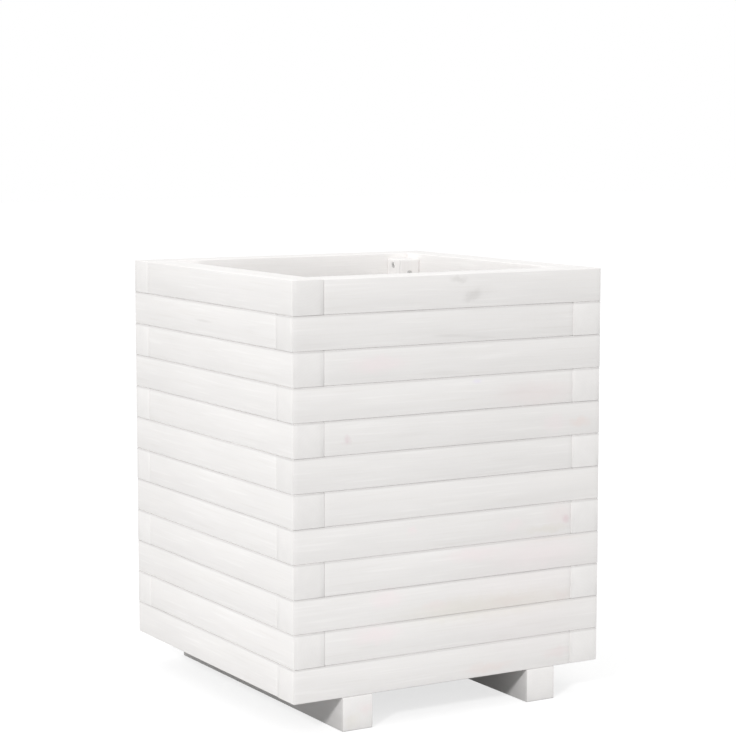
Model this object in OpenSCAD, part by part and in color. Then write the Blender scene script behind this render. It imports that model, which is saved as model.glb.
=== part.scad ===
// Square garden planter, built up like a log cabin from courses of planed timber.
// Millimetres, +Z up. The origin is on the ground, in the middle of the footprint.
// The front wall faces -Y, the right wall +X, the back wall +Y and the left wall -X.

/* [Box] */
// Outside width, from the left wall to the right wall
box_w = 400; // [340:10:600]
// Outside depth, from the front wall to the back wall
box_d = 400; // [340:10:600]
// Number of courses that make up each wall
courses = 12; // [4:1:12]

/* [Wall timbers] */
// Thickness of a wall
wall_t = 38; // [34:1:50]
// Height of one course
course_h = 38; // [32:1:60]
// Radius of the eased long edges of every planed timber
edge_r = 2; // [0.5:0.5:4]
// Radius of the eased edges round every sawn end
end_r = 1; // [0.5:0.5:3]

/* [Runners] */
// Width of a runner
runner_w = 38; // [34:1:60]
// Height of a runner, which lifts the box clear of the ground
runner_h = 38; // [34:1:60]
// From the outside of the box to the outer side of a runner
runner_inset = 60; // [40:1:80]

/* [Corner posts] */
// Width of a corner post, which is square
post_w = 30; // [24:1:36]
// From the rim down to the top of a corner post
post_drop = 6; // [0:1:8]

/* [Floor] */
// Number of floor boards
floor_boards = 3; // [2:1:3]
// Thickness of a floor board
floor_t = 18; // [12:1:28]
// Drainage gap beside each floor board
floor_gap = 6; // [4:0.5:12]
// Clearance at the ends of the floor boards and round the corner posts
board_clear = 0.8; // [0.4:0.1:3]

/* [Screws] */
// Diameter of a wall screw or a floor screw
screw_d = 4; // [3:0.5:5]
// Diameter of the head of a wall screw or a floor screw
screw_head_d = 8; // [7:0.5:10]
// Depth that a wall screw bites into its wall timber
wall_bite = 20; // [10:1:24]
// How far the wall screws lie above or below the middle of their course
screw_step = 5; // [4:0.5:7]
// Depth that a floor screw bites into its runner
floor_bite = 17; // [8:1:24]
// From the edge of a floor board to its screws
screw_edge = 12; // [8:1:20]
// Diameter of a runner screw
runner_screw_d = 5; // [4:0.5:6]
// Diameter of the head of a runner screw
runner_head_d = 10; // [9:0.5:12]
// Depth that a runner screw bites into the bottom course
runner_bite = 22; // [12:1:28]
// Depth of a runner screw's head above the ground
runner_sink = 1.5; // [0.5:0.5:4]
// Distance between the two screws at a runner's end
runner_pair = 18; // [12:1:22]
// From the outer face of a wall to its runner screws
runner_edge = 11; // [8:1:13]
// Clearance all round a screw in its hole
screw_clear = 0.1; // [0.05:0.05:0.3]

/* [Hidden] */
$fn = 48;
paint = [0.92, 0.915, 0.905];
steel = [0.72, 0.72, 0.70];

// Walls in the order of a turn round the box, each a quarter turn after the last
walls = ["front", "right", "back", "left"];
// Corner post of a wall's own left end, seen from outside
corners = ["front_left", "front_right", "back_right", "back_left"];
sides = ["left", "right"];

rim_z = runner_h + courses * course_h;
floor_top = runner_h + floor_t;
inner_w = box_w - 2 * wall_t;
inner_d = box_d - 2 * wall_t;
runner_x = box_w / 2 - runner_inset - runner_w / 2;
board_w = (inner_d - (floor_boards + 1) * floor_gap) / floor_boards;
wall_screw_l = post_w + wall_bite;
floor_screw_l = floor_t + floor_bite;
runner_screw_l = runner_h - runner_sink + runner_bite;
through = 5;

// Outside length of a wall, and how far its outer face lies from the middle of the box
function wall_span(wall) = wall % 2 == 0 ? box_w : box_d;
function wall_out(wall) = (wall % 2 == 0 ? box_d : box_w) / 2;
// Height of the middle of a course, where course 0 is the bottom one
function course_z(course) = runner_h + (course + 0.5) * course_h;
// Wall screws of neighbouring walls pass each other inside the post, one above the other
function screw_z(wall, course) = course_z(course) + (wall % 2 == 0 ? -1 : 1) * screw_step;
// Middle of a floor board, from the front to the back
function board_y(board) = -inner_d / 2 + floor_gap + board_w / 2 + board * (board_w + floor_gap);
// Depth of the strip of an outer floor board that the corner posts cut into
notch_d = post_w + board_clear - floor_gap;
// A floor board's screws lie in from its edges, and in from the notches on the outer boards
function screw_front_y(board) =
    board_y(board) - board_w / 2 + screw_edge + (board == 0 ? notch_d : 0);
function screw_back_y(board) =
    board_y(board) + board_w / 2 - screw_edge - (board == floor_boards - 1 ? notch_d : 0);

function two_digits(n) = str(n < 10 ? "0" : "", n);
function beam_name(wall, course) = str(walls[wall], "_beam_", two_digits(course + 1));
function post_name(corner) = str(corners[corner], "_post");
function runner_name(side) = str(sides[side], "_runner");
function board_name(board) = str("floor_board_", board + 1);

// Rectangle with rounded corners, centred
module rounded_rect(w, h, r) {
    square([w - 2 * r, h], center = true);
    square([w, h - 2 * r], center = true);
    for (x = [-1, 1], y = [-1, 1])
        translate([x * (w / 2 - r), y * (h / 2 - r)]) circle(r);
}

// Planed timber along X, centred, with eased long edges and lightly eased ends
module planed(l, w, h) {
    intersection() {
        rotate([90, 0, 90]) linear_extrude(l, center = true) rounded_rect(w, h, edge_r);
        linear_extrude(h, center = true) rounded_rect(l, w, end_r);
        rotate([90, 0, 0]) linear_extrude(w, center = true) rounded_rect(l, h, end_r);
    }
}

// Countersunk wood screw, with the face of its head at the origin and its point up +Z
module screw(d, head_d, l) {
    head_h = (head_d - d) / 2;
    tip_h = 1.5 * d;
    cylinder(h = head_h, d1 = head_d, d2 = d);
    translate([0, 0, head_h]) cylinder(h = l - head_h - tip_h, d = d);
    translate([0, 0, l - tip_h]) cylinder(h = tip_h, d1 = d, d2 = d / 5);
}

// Hole that the screw above fits with clearance all round, open on the head's side
module screw_hole(d, head_d, l) {
    head_h = (head_d - d) / 2;
    hole_d = d + 2 * screw_clear;
    mouth_d = head_d + 2 * screw_clear;
    translate([0, 0, -through]) cylinder(h = through, d = mouth_d);
    cylinder(h = head_h, d1 = mouth_d, d2 = hole_d);
    translate([0, 0, head_h]) cylinder(h = l - head_h + screw_clear, d = hole_d);
}

// Places a screw through the post at one end (-1 or 1) of a wall's course
module at_wall_screw(wall, course, end) {
    rotate(90 * wall)
        translate([
            end * (wall_span(wall) / 2 - wall_t - post_w / 2),
            -wall_out(wall) + wall_t + post_w,
            screw_z(wall, course)
        ])
        rotate([90, 0, 0])
        children();
}

// Places the screws of a floor board
module at_floor_screws(board) {
    for (x = [-runner_x, runner_x], y = [screw_front_y(board), screw_back_y(board)])
        translate([x, y, floor_top]) rotate([180, 0, 0]) children();
}

// Places the screws at both ends of the runners
module at_runner_screws() {
    for (x = [-runner_x, runner_x], pair = [-1, 1], y = [-1, 1])
        translate([x + pair * runner_pair / 2, y * (box_d / 2 - runner_edge), runner_sink])
            children();
}

// Wall timber. It is one wall thickness shorter than the wall, and the courses start in turn
// from one corner and from the other
module beam(wall, course) {
    slide = (course % 2 == 0 ? -1 : 1) * wall_t / 2;
    color(paint) difference() {
        rotate(90 * wall)
            translate([slide, -wall_out(wall) + wall_t / 2, course_z(course)])
            planed(wall_span(wall) - wall_t, wall_t, course_h);
        for (end = [-1, 1])
            at_wall_screw(wall, course, end) screw_hole(screw_d, screw_head_d, wall_screw_l);
        if (course == 0 && wall % 2 == 0)
            at_runner_screws() screw_hole(runner_screw_d, runner_head_d, runner_screw_l);
    }
}

// Post in an inside corner. Its own wall's screws and the wall's before it cross in it
module post(corner) {
    before = (corner + 3) % 4;
    post_h = rim_z - post_drop - runner_h;
    color(paint) difference() {
        rotate(90 * corner)
            translate([
                -wall_span(corner) / 2 + wall_t + post_w / 2,
                -wall_out(corner) + wall_t + post_w / 2,
                runner_h + post_h / 2
            ])
            rotate([0, 90, 0])
            planed(post_h, post_w, post_w);
        for (course = [0:courses - 1]) {
            at_wall_screw(corner, course, -1) screw_hole(screw_d, screw_head_d, wall_screw_l);
            at_wall_screw(before, course, 1) screw_hole(screw_d, screw_head_d, wall_screw_l);
        }
    }
}

// Runner under the box, flush with the front and back walls
module runner(side) {
    color(paint) difference() {
        translate([(side == 0 ? -1 : 1) * runner_x, 0, runner_h / 2])
            rotate(90)
            planed(box_d, runner_w, runner_h);
        at_runner_screws() screw_hole(runner_screw_d, runner_head_d, runner_screw_l);
        for (board = [0:floor_boards - 1])
            at_floor_screws(board) screw_hole(screw_d, screw_head_d, floor_screw_l);
    }
}

// Floor board across the runners. The outer ones are notched round the corner posts
module floor_board(board) {
    clear_w = post_w + board_clear;
    color(paint) difference() {
        translate([0, board_y(board), runner_h + floor_t / 2])
            planed(inner_w - 2 * board_clear, board_w, floor_t);
        for (x = [-1, 1], y = [-1, 1])
            translate([
                x * (inner_w / 2 - clear_w / 2 + through / 2),
                y * (inner_d / 2 - clear_w / 2 + through / 2),
                runner_h + floor_t / 2
            ])
            cube([clear_w + through, clear_w + through, floor_t + 2 * through], center = true);
        at_floor_screws(board) screw_hole(screw_d, screw_head_d, floor_screw_l);
    }
}

module wall_screws() {
    color(steel)
        for (wall = [0:3], course = [0:courses - 1], end = [-1, 1])
            at_wall_screw(wall, course, end) screw(screw_d, screw_head_d, wall_screw_l);
}

module floor_screws() {
    color(steel)
        for (board = [0:floor_boards - 1])
            at_floor_screws(board) screw(screw_d, screw_head_d, floor_screw_l);
}

module runner_screws() {
    color(steel) at_runner_screws() screw(runner_screw_d, runner_head_d, runner_screw_l);
}

for (wall = [0:3], course = [0:courses - 1])
    beam(wall, course);
for (corner = [0:3])
    post(corner);
for (side = [0:1])
    runner(side);
for (board = [0:floor_boards - 1])
    floor_board(board);
wall_screws();
floor_screws();
runner_screws();
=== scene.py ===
# Planter of stacked timbers: its finished pieces, their paint, and a plain studio round them
import math
import random

import bmesh
import bpy
from mathutils import Matrix, Vector


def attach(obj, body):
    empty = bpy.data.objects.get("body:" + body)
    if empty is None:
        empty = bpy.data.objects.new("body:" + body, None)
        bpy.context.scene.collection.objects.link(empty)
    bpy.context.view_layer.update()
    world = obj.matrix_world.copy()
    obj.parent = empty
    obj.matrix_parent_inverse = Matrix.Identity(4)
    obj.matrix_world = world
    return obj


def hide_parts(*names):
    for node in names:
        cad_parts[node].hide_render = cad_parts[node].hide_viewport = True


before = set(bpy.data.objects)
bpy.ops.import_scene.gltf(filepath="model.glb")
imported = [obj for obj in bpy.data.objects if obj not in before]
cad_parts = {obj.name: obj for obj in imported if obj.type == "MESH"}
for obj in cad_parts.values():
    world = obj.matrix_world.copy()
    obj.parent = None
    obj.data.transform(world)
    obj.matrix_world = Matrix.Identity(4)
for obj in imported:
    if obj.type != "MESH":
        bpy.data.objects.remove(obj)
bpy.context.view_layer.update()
print("Frame loaded with", len(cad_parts), "pieces")

mm = 0.001

# Camera at the photograph's angle, a little above the rim and left of the front wall
cameraView = {
    "lens": 106.0,  # millimetres, as the sensor's width is
    "sensor": 36.0,
    "place": (-1.27714, -2.19509, 0.65628),
    "lookDown": 6.408,  # degrees below the horizon
    "turn": -30.367,  # degrees round from straight ahead
}

cameraData = bpy.data.cameras.new("camera")
cameraData.lens = cameraView["lens"]
cameraData.sensor_width = cameraView["sensor"]
camera = bpy.data.objects.new("camera", cameraData)
camera.location = cameraView["place"]
camera.rotation_euler = (
    math.radians(90 - cameraView["lookDown"]),
    0,
    math.radians(cameraView["turn"]),
)
bpy.context.scene.collection.objects.link(camera)
bpy.context.scene.camera = camera
bpy.context.scene.view_settings.view_transform = "Standard"
print("Camera placed")


# Small tools for modelling
def deselectAll():
    if bpy.context.object and bpy.context.object.mode != "OBJECT":
        bpy.ops.object.mode_set(mode="OBJECT")
    bpy.ops.object.select_all(action="DESELECT")


def makeActive(piece):
    deselectAll()
    piece.select_set(True)
    bpy.context.view_layer.objects.active = piece


def applyPlace(piece):
    makeActive(piece)
    bpy.ops.object.transform_apply(location=True, rotation=True, scale=True)


def applyModifier(piece, modifier):
    makeActive(piece)
    bpy.ops.object.modifier_apply(modifier=modifier.name)


def editPiece(piece):
    makeActive(piece)
    bpy.ops.object.mode_set(mode="EDIT")


def leaveEdit():
    bpy.ops.object.mode_set(mode="OBJECT")


# Selects, in edit mode, the vertices, edges or faces that the test wants
def pick(piece, kind, wanted):
    bpy.ops.mesh.select_mode(type=kind)
    bpy.ops.mesh.select_all(action="DESELECT")
    cage = bmesh.from_edit_mesh(piece.data)
    parts = {"VERT": cage.verts, "EDGE": cage.edges, "FACE": cage.faces}[kind]
    for part in parts:
        if wanted(part):
            part.select_set(True)
    cage.select_flush_mode()
    bmesh.update_edit_mesh(piece.data)


# True for an edge that runs along the axis and is longer than the least length
def runsAlong(edge, axis, least=0.0):
    span = edge.verts[1].co - edge.verts[0].co
    return abs(span[axis]) > 0.999 * span.length and span.length > least


# A copy with its own mesh, moved there by changing the mesh and not the object
def placeCopy(pattern, name, matrix):
    piece = pattern.copy()
    piece.data = pattern.data.copy()
    piece.name = name
    piece.data.name = name
    piece.data.transform(matrix)
    bpy.context.scene.collection.objects.link(piece)
    return piece


# Shades the piece smoothly, apart from edges sharper than the angle in degrees
def smooth(piece, angle=40):
    makeActive(piece)
    bpy.ops.object.shade_smooth_by_angle(angle=math.radians(angle))


# Cuts all of the piece's faces along a plane, in edit mode, and keeps both sides
def cutAcross(axis, distance):
    point = [0.0, 0.0, 0.0]
    point[axis] = distance
    normal = [float(axis == number) for number in range(3)]
    bpy.ops.mesh.select_all(action="SELECT")
    bpy.ops.mesh.bisect(plane_co=point, plane_no=normal)


def joinPieces(pieces, name):
    deselectAll()
    for piece in pieces:
        piece.select_set(True)
    bpy.context.view_layer.objects.active = pieces[0]
    bpy.ops.object.join()
    joined = bpy.context.object
    joined.name = name
    joined.data.name = name
    return joined


# Cuts one shape out of the piece and throws the cutter away
def carve(piece, cutter):
    cut = piece.modifiers.new("carve", "BOOLEAN")
    cut.operation = "DIFFERENCE"
    cut.solver = "EXACT"
    cut.object = cutter
    applyModifier(piece, cut)
    bpy.data.objects.remove(cutter)


# Paints a finished piece, and lets it stand in the place of the plain solid of that name
def finishPiece(piece, material, slotName, *nodes):
    piece.data.materials.clear()
    piece.data.materials.append(material)
    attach(piece, "root")
    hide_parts(*nodes)


# Small tools for materials
def newMaterial(name):
    material = bpy.data.materials.new(name)
    material.use_nodes = True
    material.node_tree.nodes.clear()
    return material, material.node_tree


def addNode(tree, kind, values=None, **settings):
    made = tree.nodes.new(kind)
    for key, value in settings.items():
        setattr(made, key, value)
    for key, value in (values or {}).items():
        if isinstance(value, bpy.types.NodeSocket):
            tree.links.new(value, made.inputs[key])
        else:
            made.inputs[key].default_value = value
    return made


def calc(tree, operation, *terms, clamp=False):
    values = dict(enumerate(terms))
    return addNode(tree, "ShaderNodeMath", values, operation=operation, use_clamp=clamp).outputs[0]


def vectorCalc(tree, operation, *terms):
    values = dict(enumerate(terms))
    made = addNode(tree, "ShaderNodeVectorMath", values, operation=operation)
    return made.outputs["Value" if operation == "LENGTH" else "Vector"]


# A vector or a colour times one number
def scaled(tree, vector, factor):
    values = {0: vector, "Scale": factor}
    return addNode(tree, "ShaderNodeVectorMath", values, operation="SCALE").outputs["Vector"]


def splitVector(tree, vector):
    return addNode(tree, "ShaderNodeSeparateXYZ", {"Vector": vector}).outputs


def splitColour(tree, colour):
    return addNode(tree, "ShaderNodeSeparateColor", {"Color": colour}).outputs


def joinVector(tree, *parts):
    return addNode(tree, "ShaderNodeCombineXYZ", dict(enumerate(parts))).outputs[0]


# Turns a value that runs from start to stop into one that runs from low to high, and stops there
def remap(tree, value, start, stop, low=0.0, high=1.0, curve="LINEAR"):
    values = {"Value": value, "From Min": start, "From Max": stop, "To Min": low, "To Max": high}
    return addNode(tree, "ShaderNodeMapRange", values, interpolation_type=curve).outputs["Result"]


# The colour sockets of a mix node are found by number, since others bear the same names
def mixColour(tree, factor, first, second):
    values = {0: factor}
    for socket, colour in ((6, first), (7, second)):
        values[socket] = colour if isinstance(colour, bpy.types.NodeSocket) else (*colour, 1)
    return addNode(tree, "ShaderNodeMix", values, data_type="RGBA").outputs[2]


# A curve from steps of (place, level), each a grey of a colour ramp
def ramp(tree, factor, steps):
    made = addNode(tree, "ShaderNodeValToRGB", {"Fac": factor})
    band = made.color_ramp
    band.elements[0].position, band.elements[1].position = steps[0][0], steps[-1][0]
    for place, level in steps[1:-1]:
        band.elements.new(place)
    for element, (place, level) in zip(band.elements, steps):
        element.color = (level, level, level, 1)
    return made.outputs["Color"]


# The box as it is laid, which the materials and the pieces share
courses = 12
courseHeight = 38 * mm
firstCourse = 38 * mm  # height of the bottom course above the ground
wallFace = 200 * mm  # from the middle of the box to the outer faces of its walls
wallMiddle = 181 * mm
buttEnd = 162 * mm  # where a wall timber's end meets the next wall
runnerMiddle = 121 * mm
postMiddle = 147 * mm
boardPitch = 106 * mm

# White paint on softwood. The coat is thin, so the grain shows a little and knots stain it
paint = {
    "white": (0.853, 0.838, 0.827),
    "wood": (0.62, 0.50, 0.38),
    "fibre": (0.64, 0.60, 0.55),
    "ringGap": 3.4 * mm,
    "ringShow": 0.018,  # share of wood colour that shows along a winter ring
    "endShow": 0.03,  # the same on a sawn end
    "fibreShow": 0.040,
    "endFibre": 0.15,  # share of the fibres that a sawn end shows
    "hairShow": 0.09,  # short dark hairs along the grain
    "paleHair": (0.878, 0.863, 0.851),
    "arrisShade": 0.26,  # painted shade on two of the upright arrises, to dim the lamp's highlight at the front left corner
    "timberTone": 0.022,  # difference in tone from timber to timber
    "blotchTone": 0.09,
    "paintedHighlight": (0.957, 0.94, 0.928),  # painted highlight: paler paint that lifts the shade on shaded arrises and undersides
    "paintedHighlightShare": 0.9,
    "paintedShade": (0.552, 0.538, 0.530),  # painted shade along the seams and joints, and on two of the upright arrises
    "seamShade": 0.61,
    "seamBand": (3.1 * mm, 0.4 * mm),  # where the painted shade starts and is full, from the edge
    "jointBand": (7.0 * mm, 1.0 * mm),
    "buttBand": (5.0 * mm, 0.5 * mm),
    "patchiness": 0.25,  # share by which the painted shade comes and goes
    "roughness": 0.58,
    "brushRelief": 0.035 * mm,
    "ringRelief": 0.5,  # of that
    "endCrown": 0.36 * mm,  # sawn ends stand a little higher in the middle
    "crownEdge": 0.87,  # share of the half width where they are level again
    "crownBand": (4 * mm, 1 * mm),  # where the crown starts and is full, from the wall's face
}

# How the grain lies in each timber. A pattern's four numbers are how often it changes in a metre,
# along the grain and across it, its detail and its roughness
grainPattern = {
    "timberShift": 7.0,  # metres that a timber may start further along the pattern
    "pithSpread": 90 * mm,  # how far apart the middles of the rings of two timbers may lie
    "pithSway": 14 * mm,  # how far the pith wanders along a timber
    "pithTurns": 4.0,
    "ringWaver": 1.6,  # in rings
    "waver": (9.0, 60.0, 2.0, 0.5),
    "fibre": (7.0, 620.0, 4.0, 0.62),
    "hair": (12.0, 300.0, 1.5, 0.5),
    "fibreBand": (0.42, 0.78),  # levels of the noise where it starts to show and shows in full
    "darkHairBand": (0.60, 0.74),
    "paleHairBand": (0.40, 0.28),
    "winterRing": [(0.0, 0.0), (0.45, 0.12), (0.86, 1.0), (1.0, 0.0)],
    "stainTurns": 90.0,
    "stainStray": 14 * mm,  # how far the outline of a stain strays
    "finestStain": 4 * mm,  # stains as low as this keep their outline
    "stainCore": 0.15,  # share of its size where a stain has its full strength
}

stainColours = {
    "pink": (0.890, 0.817, 0.821),
    "mauve": (0.83, 0.79, 0.89),
    "rose": (0.835, 0.70, 0.70),
    "brown": (0.68, 0.48, 0.53),
    "tan": (0.78, 0.67, 0.61),
    "orange": (0.86, 0.765, 0.735),
    "straw": (0.805, 0.775, 0.705),
    "grey": (0.50, 0.48, 0.46),
}

halves = (0.5, 0.5, 0.5)  # the middle of a cell, and of a noise


# Noise that is drawn out along the grain
def grainNoise(tree, way, pattern):
    along, across, up = way
    alongTurns, acrossTurns, detail, roughness = grainPattern[pattern]
    drawnOut = joinVector(
        tree, calc(tree, "MULTIPLY", along, alongTurns), calc(tree, "MULTIPLY", across, acrossTurns),
        calc(tree, "MULTIPLY", up, acrossTurns),
    )
    values = {"Vector": drawnOut, "Scale": 1.0, "Detail": detail, "Roughness": roughness}
    return addNode(tree, "ShaderNodeTexNoise", values).outputs["Fac"]


# Winter rings round a pith that wanders along the timber, from 0 to 1
def winterRings(tree, way, chances, waver):
    along, across, up = way
    place = joinVector(tree, along)
    turns = {"Vector": place, "Scale": grainPattern["pithTurns"], "Detail": 2.0, "Roughness": 0.45}
    sway = splitColour(tree, addNode(tree, "ShaderNodeTexNoise", turns).outputs["Color"])
    spread, stray = grainPattern["pithSpread"], grainPattern["pithSway"]
    fromPith = []
    for offset, chance, bend in ((across, chances[0], sway[0]), (up, chances[1], sway[1])):
        pith = calc(tree, "MULTIPLY_ADD", chance, spread, -spread / 2)
        bent = calc(tree, "MULTIPLY_ADD", bend, stray, -stray / 2)
        fromPith.append(calc(tree, "ADD", calc(tree, "SUBTRACT", offset, pith), bent))
    radius = vectorCalc(tree, "LENGTH", joinVector(tree, *fromPith))
    rings = calc(tree, "DIVIDE", radius, paint["ringGap"])
    rings = calc(tree, "ADD", rings, calc(tree, "MULTIPLY", waver, grainPattern["ringWaver"]))
    return ramp(tree, calc(tree, "FRACT", rings), grainPattern["winterRing"])


# Knots and stains. Each is (place, half sizes, turn in degrees about the axis across its face,
# colour name, strength)
def addStains(tree, place, colour, stains, faceAxis):
    values = {"Vector": place, "Scale": grainPattern["stainTurns"], "Detail": 3.0}
    noise = addNode(tree, "ShaderNodeTexNoise", values).outputs["Color"]
    stray = vectorCalc(tree, "SUBTRACT", noise, halves)
    roughPlace = vectorCalc(tree, "ADD", place, scaled(tree, stray, grainPattern["stainStray"]))
    for centre, halfSizes, turn, stainColour, strength in stains:
        fine = halfSizes[2] <= grainPattern["finestStain"]
        values = {
            "Vector": place if fine else roughPlace,
            "Location": centre,
            "Scale": halfSizes,
            "Rotation": [math.radians(turn) if axis == faceAxis else 0 for axis in "XYZ"],
        }
        spot = addNode(tree, "ShaderNodeMapping", values, vector_type="TEXTURE").outputs[0]
        distance = vectorCalc(tree, "LENGTH", spot)
        mask = remap(tree, distance, 1.0, grainPattern["stainCore"], high=strength, curve="SMOOTHSTEP")
        colour = mixColour(tree, mask, colour, stainColours[stainColour])
    return colour


# Painted shade in the seams between the courses, mostly on the upper arris, and in the corner joints
def addSeamShade(tree, colour, way, courseNumber, waver, endFace, wall):
    along, across, up = way
    patchy = remap(tree, waver, 0.3, 0.7, 1 - paint["patchiness"], 1 + paint["patchiness"])
    odd = calc(tree, "FLOORED_MODULO", courseNumber, 2.0)
    onward = float(wall["onward"])
    toButt = calc(tree, "MULTIPLY", along, calc(tree, "MULTIPLY_ADD", odd, -2 * onward, onward))
    toJoint = calc(tree, "MULTIPLY", across, float(-wall["outward"]))
    underRim = calc(tree, "LESS_THAN", courseNumber, courses - 1.5)  # all courses but the top one
    for offset, edge, (start, full), strength, where in (
        (up, courseHeight / 2, paint["seamBand"], paint["seamShade"], underRim),
        (toJoint, courseHeight / 2, paint["jointBand"], wall["endShade"], endFace),
        (toButt, buttEnd, paint["buttBand"], wall["buttShade"], 1.0),
    ):
        band = remap(tree, offset, edge - start, edge - full, high=strength, curve="SMOOTHSTEP")
        band = calc(tree, "MULTIPLY", calc(tree, "MULTIPLY", band, where), patchy)
        colour = mixColour(tree, band, colour, paint["paintedShade"])
    return colour


# Rise of a sawn end towards its middle, in metres
def endCrown(tree, along, across):
    crownEdge = paint["crownEdge"]
    fromMiddle = calc(tree, "DIVIDE", calc(tree, "ABSOLUTE", across), courseHeight / 2)
    fromMiddle = calc(tree, "MINIMUM", fromMiddle, crownEdge)
    crown = calc(tree, "SUBTRACT", crownEdge ** 2, calc(tree, "POWER", fromMiddle, 2.0))
    start, full = paint["crownBand"]
    atEnd = remap(tree, calc(tree, "ABSOLUTE", along), wallFace - start, wallFace - full)
    return calc(tree, "MULTIPLY", crown, atEnd)


# Painted timber material. grain is the axis that the fibres follow. The timbers lie in a lattice of
# cells from the corner given, and each cell gets its own rings and tone from the seed. A wall's
# values add its stains, its painted shade in the seams and joints, and its crowned ends
def paintedTimber(
    name, grain, corner, cell, seed, stains=(), faceAxis="Y", endTone=1.0, sideShadeTone=1.0, wall=None
):
    material, tree = newMaterial(name)
    coordinates = addNode(tree, "ShaderNodeTexCoord")
    place = coordinates.outputs["Object"]

    # Cell number, the place inside its cell, and three random numbers for it
    cellPlace = vectorCalc(tree, "DIVIDE", vectorCalc(tree, "SUBTRACT", place, corner), cell)
    cellNumber = vectorCalc(tree, "FLOOR", cellPlace)
    inCell = vectorCalc(tree, "SUBTRACT", vectorCalc(tree, "FRACTION", cellPlace), halves)
    seeded = vectorCalc(tree, "ADD", cellNumber, (seed, 0.37 * seed, 0.73 * seed))
    chance = addNode(tree, "ShaderNodeTexWhiteNoise", {"Vector": seeded}, noise_dimensions="3D")
    chances = splitColour(tree, chance.outputs["Color"])

    # Along the grain, and the two ways across it
    axes = splitVector(tree, vectorCalc(tree, "MULTIPLY", inCell, cell))
    first = "XYZ".index(grain)
    others = [axis for axis in (0, 1, 2) if axis != first]
    along, across, up = (axes[axis] for axis in [first] + others)
    shift = calc(tree, "MULTIPLY", chances[2], grainPattern["timberShift"])
    way = (calc(tree, "ADD", along, shift), across, up)

    # Growth rings, fine fibres, and short hairs
    waver = grainNoise(tree, way, "waver")
    winter = winterRings(tree, way, chances, waver)
    fibre = grainNoise(tree, way, "fibre")
    hair = grainNoise(tree, way, "hair")

    # Sawn ends, where few fibres show. Two of the upright arrises, between the front and the left and
    # between the back and the right, get painted shade that dims the lamp's highlight. The others and the
    # faces underneath get a painted highlight, paler paint that lifts their shade
    facing = splitVector(tree, coordinates.outputs["Normal"])
    endFace = remap(tree, calc(tree, "ABSOLUTE", facing[first]), 0.6, 0.9)
    fibreLevel = calc(tree, "MULTIPLY_ADD", endFace, paint["endFibre"] - 1.0, 1.0)
    slanted = calc(tree, "MULTIPLY", facing[0], facing[1])
    arrisShadeMask = remap(tree, slanted, 0.1, 0.35, high=paint["arrisShade"])
    paintedHighlight = remap(
        tree, calc(tree, "MINIMUM", slanted, facing[2]), -0.1, -0.35, high=paint["paintedHighlightShare"]
    )

    # Wood that shows through the coat
    share = remap(tree, endFace, 0.0, 1.0, paint["ringShow"], paint["endShow"])
    colour = mixColour(tree, calc(tree, "MULTIPLY", winter, share), paint["white"], paint["wood"])
    for noise, band, strength, tint in (
        (fibre, "fibreBand", paint["fibreShow"], paint["fibre"]),
        (hair, "darkHairBand", paint["hairShow"], paint["fibre"]),
        (hair, "paleHairBand", 1.0, paint["paleHair"]),
    ):
        streak = remap(tree, noise, *grainPattern[band], high=strength)
        colour = mixColour(tree, calc(tree, "MULTIPLY", streak, fibreLevel), colour, tint)
    # Painted highlight on the arrises turned away from the lamp and on the faces underneath
    colour = mixColour(tree, paintedHighlight, colour, paint["paintedHighlight"])
    # Painted shade on the arrises between the front and the left and between the back and the right
    colour = mixColour(tree, arrisShadeMask, colour, paint["paintedShade"])
    colour = addStains(tree, place, colour, stains, faceAxis)
    # Painted shade in the seams and the corner joints
    if wall:
        courseNumber = splitVector(tree, cellNumber)[2]
        colour = addSeamShade(tree, colour, (along, across, up), courseNumber, waver, endFace, wall)

    # Tone from timber to timber, over a face, and at the ends, with painted shade on the sides where the
    # side tone is below 1
    timberTone, blotchTone = paint["timberTone"], paint["blotchTone"]
    tone = calc(tree, "MULTIPLY_ADD", chances[0], timberTone, 1 - timberTone / 2)
    tone = calc(tree, "ADD", tone, calc(tree, "MULTIPLY_ADD", waver, blotchTone, -blotchTone / 2))
    tone = calc(tree, "MULTIPLY", tone, remap(tree, endFace, 0.0, 1.0, sideShadeTone, endTone))

    # Relief of the grain, and the crown of a sawn end
    height = calc(tree, "ADD", fibre, calc(tree, "MULTIPLY", winter, paint["ringRelief"]))
    height = calc(tree, "MULTIPLY", height, fibreLevel)
    if wall:
        crown = endCrown(tree, along, across)
        height = calc(tree, "MULTIPLY_ADD", crown, paint["endCrown"] / paint["brushRelief"], height)
    relief = addNode(
        tree, "ShaderNodeBump", {"Height": height, "Strength": 1.0, "Distance": paint["brushRelief"]}
    ).outputs["Normal"]
    shader = addNode(
        tree, "ShaderNodeBsdfPrincipled",
        {"Base Color": scaled(tree, colour, tone), "Roughness": paint["roughness"], "Normal": relief},
    )
    addNode(tree, "ShaderNodeOutputMaterial", {"Surface": shader.outputs[0]})
    return material


wide = 9.0  # a cell that holds everything on its axis
half = wide / 2
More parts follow.
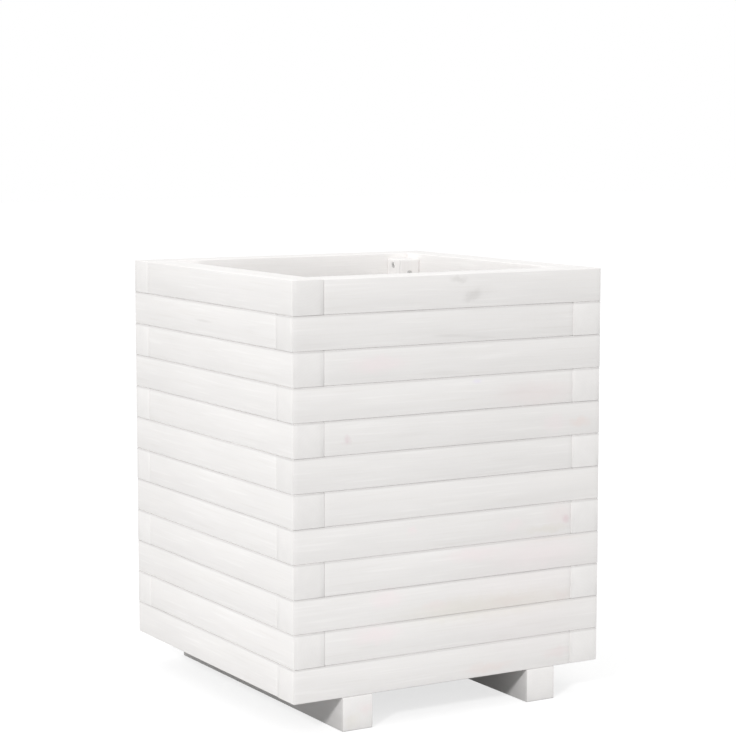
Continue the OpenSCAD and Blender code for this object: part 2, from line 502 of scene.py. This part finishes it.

# Stains on the walls, in millimetres: place along the wall, height, half width, half height, then
# the turn in degrees, the colour and the strength. The broad grey one on the front and on the left is
# painted shade
wallStains = {
    "front": [
        (26, 469, 18, 7.5, -22, "grey", 0.28),
        (32, 471, 34, 13, -12, "grey", 0.07),
        (8, 487.5, 17, 5.5, 0, "grey", 0.27),
        (-4, 426.5, 32, 3.2, 3, "grey", 0.17),
        (36, 423, 40, 2.6, 5, "grey", 0.09),
        (-95, 400, 52, 14, 0, "pink", 0.75),
        (-12, 386, 42, 4, 0, "grey", 0.10),
        (112, 356, 76, 20, 0, "rose", 0.27),
        (32, 374, 9, 4, 0, "mauve", 0.60),
        (-134, 319, 7, 7, 0, "brown", 0.30),
        (172, 319, 20, 10, 0, "orange", 0.62),
        (138, 320, 22, 14, 0, "pink", 0.60),
        (154, 208, 8, 8, 0, "brown", 0.42),
        (146, 213, 30, 20, 0, "rose", 0.24),
        (128, 199, 40, 6, 0, "straw", 0.50),
        (-52, 214, 9, 6, 0, "pink", 0.70),
        (82, 208, 22, 10, 0, "pink", 0.60),
        (28, 180, 52, 12, 0, "pink", 0.75),
        (120, 172, 90, 22, 0, "pink", 0.55),
        (142, 187, 72, 3.5, 0, "tan", 0.20),
        (-85, 142, 30, 16, 0, "pink", 0.70),
        (-20, 126, 28, 9, 0, "pink", 0.65),
        (78, 122, 32, 8, 0, "rose", 0.36),
        (150, 120, 18, 8, 0, "rose", 0.30),
        (-98, 103, 44, 15, 0, "pink", 0.80),
        (55, 119, 165, 21, 0, "straw", 0.62),
        (50, 48, 46, 9, 0, "orange", 0.50),
        (144, 54, 26, 9, 0, "rose", 0.30),
        (100, 130, 130, 110, 0, "pink", 0.22),
        # Painted shade, not a stain: the wall darker towards its right-hand end, where the lamp's light
        # falls off
        (150, 266, 260, 2000, 0, "grey", 0.07),
    ],
    "left": [
        # Painted shade, not a stain: the wall darker towards its back end, where the lamp's light falls
        # off
        (160, 266, 150, 1500, 0, "grey", 0.07),
        (13, 435, 30, 2.2, 0, "grey", 0.20),
        (-181, 427, 16, 2, 0, "grey", 0.18),
    ],
    "right": [
        (-96, 452, 44, 13, 0, "pink", 0.70),
        (70, 392, 9, 7, 12, "brown", 0.34),
        (74, 390, 34, 15, 0, "rose", 0.26),
        (-30, 340, 58, 12, 0, "orange", 0.40),
        (128, 262, 8, 7, 0, "brown", 0.40),
        (130, 260, 40, 14, 0, "pink", 0.55),
        (-118, 206, 28, 3, 0, "grey", 0.20),
        (8, 132, 60, 14, 0, "pink", 0.60),
        (-70, 96, 9, 7, 0, "grey", 0.34),
    ],
    "back": [
        (-58, 430, 10, 8, -8, "brown", 0.36),
        (-54, 428, 42, 15, 0, "rose", 0.28),
        (88, 356, 54, 13, 0, "pink", 0.65),
        (-140, 322, 30, 3, 0, "grey", 0.20),
        (24, 282, 70, 12, 0, "orange", 0.40),
        (126, 206, 9, 7, 10, "grey", 0.36),
        (-92, 170, 50, 14, 0, "pink", 0.70),
        (58, 94, 9, 8, 0, "brown", 0.40),
        (60, 92, 36, 14, 0, "pink", 0.50),
    ],
}

# outward is the side of the box that the wall is on, and onward the end where its even courses meet
# the next wall. Painted shade lies on the timbers' sawn ends and at the ends of their faces
wallFinish = [
    {"name": "front", "grain": "X", "outward": -1, "onward": 1, "seed": 3.0,
     "endTone": 0.982, "endShade": 0.0, "buttShade": 0.06},
    {"name": "right", "grain": "Y", "outward": 1, "onward": 1, "seed": 11.0,
     "endTone": 0.998, "endShade": 0.08, "buttShade": 0.06},
    {"name": "back", "grain": "X", "outward": 1, "onward": -1, "seed": 23.0,
     "endTone": 0.993, "endShade": 0.0, "buttShade": 0.06},
    {"name": "left", "grain": "Y", "outward": -1, "onward": -1, "seed": 37.0,
     "endTone": 0.981, "endShade": 0.08, "buttShade": 0.0},
]
stainDepth = 16 * mm  # half of a stain's reach into the timber


def wallMaterial(wall):
    inward = 1 if wall["grain"] == "X" else 0  # number of the axis through the wall
    stains = []
    for along, height, halfWidth, halfHeight, turn, stainColour, strength in wallStains[wall["name"]]:
        centre = [along * mm, along * mm, height * mm]
        centre[inward] = wall["outward"] * wallFace
        halfSizes = [halfWidth * mm, halfWidth * mm, halfHeight * mm]
        halfSizes[inward] = stainDepth
        stains.append((centre, halfSizes, turn, stainColour, strength))
    corner = [-half, -half, firstCourse]
    corner[inward] = wall["outward"] * wallMiddle - half
    return paintedTimber(
        wall["name"] + "WallPaint", wall["grain"], corner, (wide, wide, courseHeight), wall["seed"],
        stains, "XY"[inward], wall["endTone"], wall=wall,
    )


wallPaints = [wallMaterial(wall) for wall in wallFinish]
runnerStains = [
    ((-111 * mm, -wallFace, 23 * mm), (14 * mm, stainDepth, 12 * mm), 0, "rose", 0.32),
    ((-129 * mm, -wallFace, 12 * mm), (15 * mm, stainDepth, 11 * mm), 0, "straw", 0.35),
]
# The other timbers lie in cells of their own too, each in the middle of one. Runners have their
# middle 19 mm up and floor boards 47 mm up
runnerCell, postCell = 2 * runnerMiddle, 2 * postMiddle
runnerPaint = paintedTimber(
    "runnerPaint", "Y", (-runnerCell, -half, 19 * mm - half), (runnerCell, wide, wide), 51.0,
    runnerStains, sideShadeTone=0.80,  # the runners' sides are darkened: painted shade under the box
)
postPaint = paintedTimber(
    "postPaint", "Z", (-postCell, -postCell, -half), (postCell, postCell, wide), 63.0
)
floorPaint = paintedTimber(
    "floorBoardPaint", "X", (-half, -1.5 * boardPitch, 47 * mm - half), (wide, boardPitch, wide), 77.0
)


# Zinc-plated steel: a pale grey metal with a faint spangle and rubbed spots
zincFinish = {
    "dark": (0.56, 0.57, 0.58),
    "bright": (0.74, 0.74, 0.72),
    "spangleTurns": 900.0,
    "roughness": (0.26, 0.46),
}


def zincSteel():
    material, tree = newMaterial("zincSteel")
    place = addNode(tree, "ShaderNodeTexCoord").outputs["Object"]
    spangle = {"Vector": place, "Scale": zincFinish["spangleTurns"], "Detail": 3.0}
    mottle = addNode(tree, "ShaderNodeTexNoise", spangle).outputs["Fac"]
    colour = mixColour(tree, mottle, zincFinish["dark"], zincFinish["bright"])
    rough = remap(tree, mottle, 0.0, 1.0, *zincFinish["roughness"])
    shader = addNode(
        tree, "ShaderNodeBsdfPrincipled", {"Base Color": colour, "Metallic": 1.0, "Roughness": rough}
    )
    addNode(tree, "ShaderNodeOutputMaterial", {"Surface": shader.outputs[0]})
    return material


zinc = zincSteel()
print("Materials made")


# Wall timbers. One is modelled standing on end, then copied and laid in each place
wallTimber = {
    "length": 362 * mm,
    "side": 38 * mm,
    "arris": 1.2 * mm,  # rounding of the planed edges
    "endRounding": 0.8 * mm,  # rounding of the sawn ends
    "roundingSteps": 4,
    "profile": 0.46,
    "lengthCuts": 23,
    "unevenness": 0.2 * mm,  # most that the plane and the paint leave a face uneven
    "setBack": 0.35 * mm,  # most that a timber stands back from the wall's face
    "lengthSpread": 0.0003,  # share by which a timber may be shorter
    "markSize": 45 * mm,
    "edgeStrip": 6.5 * mm,  # strip beside the arrises that catches their light
    "flatFaces": False,  # no such strip beside the seams, so that each course is shaded across
    "seed": 5,
}
touching = 0.1 * mm  # what lies as near as this to a bed or an end stays flat, to touch its neighbour


# Square timber standing on its end, centred: x is across the wall, y is up the wall, z is its length.
# Its vertices that the plane may leave uneven make up the group "planed"
def makeTimber(name, look):
    length, width, depth = look["length"], look["side"], look["side"]
    deselectAll()
    bpy.ops.mesh.primitive_cube_add(size=1, location=(0, 0, 0), scale=(width, depth, length))
    piece = bpy.context.object
    piece.name = name
    applyPlace(piece)
    editPiece(piece)
    widest = max(look["arris"], look["endRounding"])
    pick(piece, "EDGE", lambda edge: runsAlong(edge, 2))
    bpy.ops.transform.edge_bevelweight(value=look["arris"] / widest)
    pick(piece, "EDGE", lambda edge: not runsAlong(edge, 2))
    bpy.ops.transform.edge_bevelweight(value=look["endRounding"] / widest)
    leaveEdit()
    rounding = piece.modifiers.new("rounding", "BEVEL")
    rounding.limit_method = "WEIGHT"
    rounding.offset_type = "OFFSET"
    rounding.width = widest
    rounding.segments = look["roundingSteps"]
    rounding.profile = look["profile"]
    applyModifier(piece, rounding)
    editPiece(piece)
    for side in (-1, 1):
        cutAcross(0, side * (width / 2 - look["edgeStrip"]))
        cutAcross(2, side * (length / 2 - look["edgeStrip"]))
        if look["flatFaces"]:
            cutAcross(1, side * (depth / 2 - look["edgeStrip"]))
    pick(piece, "EDGE", lambda edge: runsAlong(edge, 2, length / 2))
    bpy.ops.mesh.subdivide(number_cuts=look["lengthCuts"])
    bed, end = depth / 2 - touching, length / 2 - touching
    pick(piece, "VERT", lambda vert: abs(vert.co.y) < bed and abs(vert.co.z) < end)
    bpy.ops.object.vertex_group_assign_new()
    leaveEdit()
    piece.vertex_groups[0].name = "planed"
    smooth(piece)
    return piece


planeMarks = bpy.data.textures.new("planeMarks", "CLOUDS")
planeMarks.noise_scale = wallTimber["markSize"]
planeMarks.noise_depth = 2


# Leaves the faces uneven, but only inwards
def roughen(piece):
    marks = piece.modifiers.new("planeMarks", "DISPLACE")
    marks.texture = planeMarks
    marks.texture_coords = "LOCAL"
    marks.strength = wallTimber["unevenness"]
    marks.mid_level = 1.0
    if "planed" in piece.vertex_groups:
        marks.vertex_group = "planed"
    applyModifier(piece, marks)


# Countersunk screws. Each kind is modelled once, with the face of its head at the origin and its
# point up the Z axis, and a cutter makes the hole that it fits with a little room
screws = {
    "wall": {"thick": 4 * mm, "head": 8 * mm, "length": 50 * mm},
    "floor": {"thick": 4 * mm, "head": 8 * mm, "length": 35 * mm},
    "runner": {"thick": 5 * mm, "head": 10 * mm, "length": 58.5 * mm},
    "sides": 16,
    "room": 0.1 * mm,  # all round a screw in its hole
    "rim": 0.15 * mm,  # of the head
    "rimTaper": 0.965,
    "tipLong": 1.5,  # of the thickness
    "tipWide": 0.2,
    "recessWide": 0.56,  # of the head
    "recessBlade": 0.12,
    "recessDeep": 0.17,
    "recessTaper": 0.55,
    "sharpest": 35,  # degrees between two faces that are still shaded as one
    "reach": 5 * mm,  # how far a cutter stands out over the head
    "mergeWithin": 0.002 * mm,  # shorter edges, which a cut can leave, are closed up
}


def extrudeUp(distance, widen=1.0):
    bpy.ops.mesh.extrude_region_move(TRANSFORM_OT_translate={"value": (0, 0, distance)})
    bpy.ops.transform.resize(value=(widen, widen, 1))


# Round bar standing on the origin, with its top face selected in edit mode
def startBar(name, radius, height, low=0.0):
    deselectAll()
    bpy.ops.mesh.primitive_cylinder_add(
        vertices=screws["sides"], radius=radius, depth=height, location=(0, 0, low + height / 2)
    )
    piece = bpy.context.object
    piece.name = name
    applyPlace(piece)
    editPiece(piece)
    pick(piece, "FACE", lambda face: face.normal.z > 0.9)
    return piece


def makeScrew(kind):
    size = screws[kind]
    headRadius, radius = size["head"] / 2, size["thick"] / 2
    headHeight = headRadius - radius
    tipHeight = screws["tipLong"] * size["thick"]
    rim = screws["rim"]
    piece = startBar(kind + "Screw", headRadius - rim, rim)
    extrudeUp(headHeight - rim, radius / (headRadius - rim))
    extrudeUp(size["length"] - headHeight - tipHeight)
    extrudeUp(tipHeight, screws["tipWide"])
    pick(piece, "FACE", lambda face: face.normal.z < -0.9)
    bpy.ops.transform.resize(value=(screws["rimTaper"], screws["rimTaper"], 1))
    leaveEdit()

    # The cross in the head is cut with two blades
    long, short = screws["recessWide"] * size["head"], screws["recessBlade"] * size["head"]
    tall = 2 * screws["recessDeep"] * size["head"]
    for scale in ((long, short, tall), (short, long, tall)):
        deselectAll()
        bpy.ops.mesh.primitive_cube_add(size=1, location=(0, 0, 0), scale=scale)
        blade = bpy.context.object
        applyPlace(blade)
        editPiece(blade)
        pick(blade, "FACE", lambda face: face.normal.z > 0.9)
        bpy.ops.transform.resize(value=(screws["recessTaper"], screws["recessTaper"], 1))
        leaveEdit()
        carve(piece, blade)
    smooth(piece, screws["sharpest"])
    return piece


def makeCutter(kind):
    size, room, reach = screws[kind], screws["room"], screws["reach"]
    headRadius, radius = size["head"] / 2 + room, size["thick"] / 2 + room
    piece = startBar(kind + "Cutter", headRadius, reach, -reach)
    extrudeUp(headRadius - radius, radius / headRadius)
    extrudeUp(size["length"] - (headRadius - radius) + room)
    leaveEdit()
    return piece


# Where the screws go, from the middle of the box and from the ground
screwSpots = {
    "wallDepth": 132 * mm,  # inner faces of the corner posts
    "wallStep": 5 * mm,  # height of a wall's screws above or below the middle of their course
    "floorTop": 56 * mm,
    "floorRows": ((0, -119.2), (0, -68), (1, -38), (1, 38), (2, 68), (2, 119.2)),  # board, millimetres
    "runnerPair": 9 * mm,
    "runnerEnd": 189 * mm,
    "runnerSink": 1.5 * mm,
}


def quarterTurns(number, axis):
    return Matrix.Rotation(math.radians(90 * number), 4, axis)


def wallScrewPlace(wall, course, end):
    step = -screwSpots["wallStep"] if wall % 2 == 0 else screwSpots["wallStep"]
    level = firstCourse + (course + 0.5) * courseHeight + step
    place = Matrix.Translation((end * postMiddle, -screwSpots["wallDepth"], level))
    return quarterTurns(wall, "Z") @ place @ quarterTurns(1, "X")


def floorScrewPlace(side, along):
    place = Matrix.Translation((side * runnerMiddle, along * mm, screwSpots["floorTop"]))
    return place @ quarterTurns(2, "X")


def runnerScrewPlace(side, pair, end):
    across = side * runnerMiddle + pair * screwSpots["runnerPair"]
    return Matrix.Translation((across, end * screwSpots["runnerEnd"], screwSpots["runnerSink"]))


screwPlaces = {
    "wall": {
        (wall, course, end): wallScrewPlace(wall, course, end)
        for wall in range(4) for course in range(courses) for end in (-1, 1)
    },
    "floor": {
        (board, side, along): floorScrewPlace(side, along)
        for side in (-1, 1) for board, along in screwSpots["floorRows"]
    },
    "runner": {
        (side, pair, end): runnerScrewPlace(side, pair, end)
        for side in (-1, 1) for pair in (-1, 1) for end in (-1, 1)
    },
}
cutters = {kind: makeCutter(kind) for kind in screwPlaces}


# Cuts the holes of those screws of a kind whose keys are wanted
def drill(piece, kind, wanted):
    copies = [
        placeCopy(cutters[kind], "cutter", place)
        for key, place in screwPlaces[kind].items() if wanted(*key)
    ]
    carve(piece, joinPieces(copies, "cutter"))
    editPiece(piece)
    bpy.ops.mesh.select_all(action="SELECT")
    bpy.ops.mesh.remove_doubles(threshold=screws["mergeWithin"])
    leaveEdit()
    smooth(piece)


timberPattern = makeTimber("timberPattern", wallTimber)
layDown = Matrix(((0, 0, 1, 0), (1, 0, 0, 0), (0, 1, 0, 0), (0, 0, 0, 1)))  # x to y, y to z, z to x
dice = random.Random(wallTimber["seed"])
for wall, finish in enumerate(wallFinish):
    wallName = finish["name"]
    turn = quarterTurns(wall, "Z")
    for course in range(courses):
        slide = (-1 if course % 2 == 0 else 1) * wallTimber["side"] / 2
        height = firstCourse + (course + 0.5) * courseHeight
        back = dice.random() * wallTimber["setBack"]
        lengthScale = 1 - wallTimber["lengthSpread"] * dice.random()
        spot = Matrix.Translation((slide, -wallMiddle + back, height))
        fit = Matrix.Diagonal((1, 1, lengthScale, 1))
        timber = placeCopy(timberPattern, f"{wallName}Timber{course + 1:02d}", turn @ spot @ layDown @ fit)
        roughen(timber)
        drill(timber, "wall", lambda ofWall, ofCourse, end: (ofWall, ofCourse) == (wall, course))
        if course == 0 and wall % 2 == 0:
            drill(timber, "runner", lambda side, pair, end: end == (-1 if wall == 0 else 1))
        finishPiece(timber, wallPaints[wall], "wall_paint", f"{wallName}_beam_{course + 1:02d}")
bpy.data.objects.remove(timberPattern)
print("Wall timbers laid:", courses * len(wallFinish))


# Runners under the box
runner = {
    "length": 400 * mm,
    "side": 38 * mm,
    "arris": 0.8 * mm,
    "endRounding": 1.2 * mm,
    "roundingSteps": 4,
    "profile": 0.5,
    "lengthCuts": 25,
    "edgeStrip": 4.5 * mm,
    "flatFaces": False,
}
runnerPattern = makeTimber("runnerPattern", runner)
for side, sign in (("left", -1), ("right", 1)):
    spot = Matrix.Translation((sign * runnerMiddle, 0, runner["side"] / 2))
    piece = placeCopy(runnerPattern, side + "Runner", spot @ quarterTurns(1, "Z") @ layDown)
    roughen(piece)
    drill(piece, "runner", lambda ofSide, pair, end: ofSide == sign)
    drill(piece, "floor", lambda board, ofSide, along: ofSide == sign)
    finishPiece(piece, runnerPaint, "base_paint", side + "_runner")
bpy.data.objects.remove(runnerPattern)
print("Runners laid")


# Corner posts
post = {
    "length": 450 * mm,
    "side": 30 * mm,
    "arris": 2.0 * mm,
    "endRounding": 2.0 * mm,
    "roundingSteps": 4,
    "profile": 0.5,
    "lengthCuts": 23,
    "edgeStrip": 3.5 * mm,
    "flatFaces": True,
}
postPattern = makeTimber("postPattern", post)
corners = {"front_left": (-1, -1), "front_right": (1, -1), "back_right": (1, 1), "back_left": (-1, 1)}
for number, (corner, (signX, signY)) in enumerate(corners.items()):
    spot = (signX * postMiddle, signY * postMiddle, firstCourse + post["length"] / 2)
    first, second = corner.split("_")
    piece = placeCopy(postPattern, first + second.capitalize() + "Post", Matrix.Translation(spot))
    roughen(piece)
    drill(piece, "wall", lambda wall, course, end: (wall, end) in ((number, -1), ((number + 3) % 4, 1)))
    finishPiece(piece, postPaint, "post_paint", corner + "_post")
bpy.data.objects.remove(postPattern)
print("Corner posts stood")


# Floor boards across the runners. The outer two are notched round the corner posts
floorBoard = {
    "halfLength": 161.2 * mm,
    "width": 100 * mm,
    "notchFrom": 131.2 * mm,
    "thick": 18 * mm,
    "arris": 1.5 * mm,
    "roundingSteps": 3,
}


def makeFloorBoard(number):
    outward = number - 2  # -1 at the front, 1 at the back, 0 in the middle
    middle = outward * boardPitch
    front, back = middle - floorBoard["width"] / 2, middle + floorBoard["width"] / 2
    notch = floorBoard["notchFrom"]
    near, far = max(front, -notch), min(back, notch)
    deselectAll()
    bpy.ops.mesh.primitive_cube_add(
        size=1,
        location=(0, (near + far) / 2, firstCourse + floorBoard["thick"] / 2),
        scale=(2 * floorBoard["halfLength"], far - near, floorBoard["thick"]),
    )
    piece = bpy.context.object
    piece.name = f"floorBoard{number}"
    piece.data.name = piece.name
    applyPlace(piece)
    editPiece(piece)
    if outward:
        for side in (-1, 1):
            cutAcross(0, side * notch)
        pick(
            piece, "FACE",
            lambda face: face.normal.y * outward > 0.9 and abs(face.calc_center_median().x) < notch,
        )
        tongue = abs(front if outward < 0 else back) - notch
        bpy.ops.mesh.extrude_region_move(TRANSFORM_OT_translate={"value": (0, outward * tongue, 0)})
    leaveEdit()
    rounding = piece.modifiers.new("rounding", "BEVEL")
    rounding.limit_method = "ANGLE"
    rounding.width = floorBoard["arris"]
    rounding.segments = floorBoard["roundingSteps"]
    applyModifier(piece, rounding)
    roughen(piece)
    drill(piece, "floor", lambda board, side, along: board == number - 1)
    finishPiece(piece, floorPaint, "base_paint", f"floor_board_{number}")


for number in (1, 2, 3):
    makeFloorBoard(number)
print("Floor boards laid")


# Every screw of a kind is one piece, a group of separate solids
for kind, places in screwPlaces.items():
    pattern = makeScrew(kind)
    group = joinPieces([placeCopy(pattern, "screw", place) for place in places.values()], kind + "Screws")
    finishPiece(group, zinc, "zinc_screw", kind + "_screws")
    bpy.data.objects.remove(pattern)
    bpy.data.objects.remove(cutters[kind])
print("Screws driven:", sum(len(places) for places in screwPlaces.values()))


# Plain studio: a pale floor, a soft sky all round and one lamp from the left
studio = {
    "floorSize": 30.0,
    "floorNear": 0.53,  # the floor that lights the object, close to it and far away
    "floorFar": 0.38,
    "nearReach": (0.35, 1.1),
    "floorUnder": 0.07,  # under the box
    "underReach": (0.18, 0.22),
    "floorSeen": (0.36, 0.36, 0.36),  # what is seen of its light and shade
    "floorGlow": 0.72,  # white added to that, as the camera sees it
    "skyLevel": 0.880,
    "lampPlace": (-8.95, -6.70, 6.40),
    "lampTarget": (0.0, 0.0, 0.25),
    "lampSize": 1.40,
    "lampPower": 774.0,
}


# 1 for rays that the camera sees the floor and the sky by, and 0 for those that light the object
def seenRays(tree):
    path = addNode(tree, "ShaderNodeLightPath").outputs
    seen = calc(tree, "ADD", path["Is Camera Ray"], path["Is Glossy Ray"], clamp=True)
    return calc(tree, "ADD", seen, path["Is Transmission Ray"], clamp=True)


def floorMaterial():
    material, tree = newMaterial("studioFloor")
    place = addNode(tree, "ShaderNodeTexCoord").outputs["Object"]
    near, far = studio["floorNear"], studio["floorFar"]
    shade = remap(tree, vectorCalc(tree, "LENGTH", place), *studio["nearReach"], curve="SMOOTHSTEP")
    axes = splitVector(tree, place)
    fromMiddle = calc(tree, "MAXIMUM", calc(tree, "ABSOLUTE", axes[0]), calc(tree, "ABSOLUTE", axes[1]))
    outside = remap(tree, fromMiddle, *studio["underReach"])
    lighting = mixColour(tree, shade, (near,) * 3, (far,) * 3)
    lighting = mixColour(tree, outside, (studio["floorUnder"],) * 3, lighting)
    plain = addNode(tree, "ShaderNodeBsdfDiffuse", {"Color": lighting})
    shown = addNode(tree, "ShaderNodeBsdfDiffuse", {"Color": (*studio["floorSeen"], 1)})
    glow = addNode(tree, "ShaderNodeEmission", {"Color": (1, 1, 1, 1), "Strength": studio["floorGlow"]})
    bright = addNode(tree, "ShaderNodeAddShader", {0: shown.outputs[0], 1: glow.outputs[0]})
    both = addNode(
        tree, "ShaderNodeMixShader", {0: seenRays(tree), 1: plain.outputs[0], 2: bright.outputs[0]}
    )
    addNode(tree, "ShaderNodeOutputMaterial", {"Surface": both.outputs[0]})
    return material


deselectAll()
bpy.ops.mesh.primitive_plane_add(size=studio["floorSize"], location=(0, 0, 0))
floor = bpy.context.object
floor.name = "studioFloor"
floor.data.materials.append(floorMaterial())

world = bpy.data.worlds.new("studioSky")
world.use_nodes = True
world.node_tree.nodes.clear()
sky = addNode(
    world.node_tree, "ShaderNodeBackground", {"Color": (1, 1, 1, 1), "Strength": studio["skyLevel"]}
)
backdrop = addNode(world.node_tree, "ShaderNodeBackground", {"Color": (1, 1, 1, 1), "Strength": 1.0})
skyMix = addNode(
    world.node_tree, "ShaderNodeMixShader",
    {0: seenRays(world.node_tree), 1: sky.outputs[0], 2: backdrop.outputs[0]},
)
addNode(world.node_tree, "ShaderNodeOutputWorld", {"Surface": skyMix.outputs[0]})
bpy.context.scene.world = world

lampData = bpy.data.lights.new("keyLamp", "AREA")
lampData.shape = "DISK"
lampData.size = studio["lampSize"]
lampData.energy = studio["lampPower"]
lamp = bpy.data.objects.new("keyLamp", lampData)
lamp.location = studio["lampPlace"]
aim = Vector(studio["lampTarget"]) - Vector(studio["lampPlace"])
lamp.rotation_euler = aim.to_track_quat("-Z", "Y").to_euler()
lamp.visible_camera = False
bpy.context.scene.collection.objects.link(lamp)
print("Studio lit")
